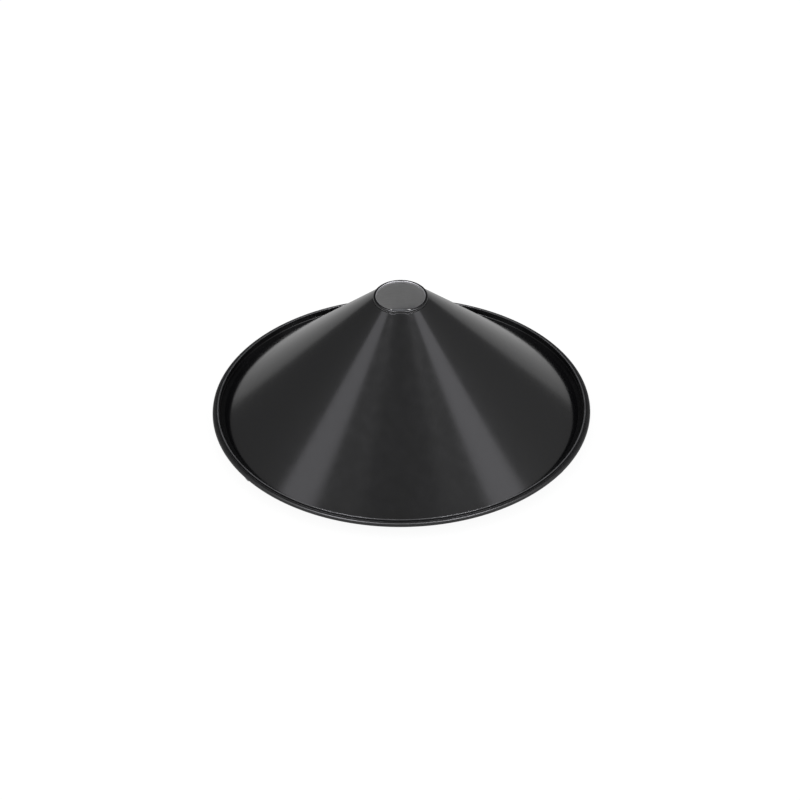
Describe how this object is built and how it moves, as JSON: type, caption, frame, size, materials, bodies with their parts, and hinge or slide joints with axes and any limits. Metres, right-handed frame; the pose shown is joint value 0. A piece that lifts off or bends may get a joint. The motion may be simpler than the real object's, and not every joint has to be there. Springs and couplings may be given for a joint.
{
  "type": "snoot",
  "caption": "Wide conical snoot with a small open tip, a flat gutter, a lipped rim with a rolled bead, and sprung clips under the flange that grip the mouth of a flash reflector.",
  "frame": {"origin": "centre of the plane on which the clip brackets stand, on the axis of the cone", "axes": "+Z along the cone's axis, from the wide base to the tip"},
  "size_m": [0.225, 0.225, 0.0938],
  "materials": {
    "shell_paint": "gloss black stoved enamel outside, satin black inside, on spun aluminium",
    "ring_paint": "gloss black enamel",
    "bead_paint": "satin-gloss black enamel",
    "wire_steel": "drawn wire",
    "bracket_steel": "black zinc",
    "plate_steel": "zinc plated",
    "spring_steel": "rolled spring strip",
    "rivet_steel": "zinc plated"
  },
  "bodies": {
    "snoot": {"cone_shell": "shell_paint", "tip_ring": "ring_paint", "tip_wire": "wire_steel", "rim_bead": "bead_paint", "rim_wire": "wire_steel", "clip_bracket_1": "bracket_steel", "backing_plate_1": "plate_steel", "spring_root_1": "spring_steel", "rivet_1a": "rivet_steel", "rivet_1b": "rivet_steel", "clip_bracket_2": "bracket_steel", "backing_plate_2": "plate_steel", "spring_root_2": "spring_steel", "rivet_2a": "rivet_steel", "rivet_2b": "rivet_steel", "clip_bracket_3": "bracket_steel", "backing_plate_3": "plate_steel", "spring_root_3": "spring_steel", "rivet_3a": "rivet_steel", "rivet_3b": "rivet_steel"},
    "arm_1": {"spring_arm_1": "spring_steel"},
    "arm_2": {"spring_arm_2": "spring_steel"},
    "arm_3": {"spring_arm_3": "spring_steel"}
  },
  "joints": [
    {"name": "arm_1_flex", "type": "hinge", "parent": "snoot", "child": "arm_1", "pos_m": [0.01131, 0.10442, 0.0024], "axis": [0, 0, 1], "range_deg": [0, 6], "stiffness_Nm_per_rad": 0.4},
    {"name": "arm_2_flex", "type": "hinge", "parent": "snoot", "child": "arm_2", "pos_m": [0.08478, -0.062, 0.0024], "axis": [0, 0, 1], "range_deg": [0, 6], "stiffness_Nm_per_rad": 0.4},
    {"name": "arm_3_flex", "type": "hinge", "parent": "snoot", "child": "arm_3", "pos_m": [-0.09609, -0.04242, 0.0024], "axis": [0, 0, 1], "range_deg": [0, 6], "stiffness_Nm_per_rad": 0.4}
  ]
}
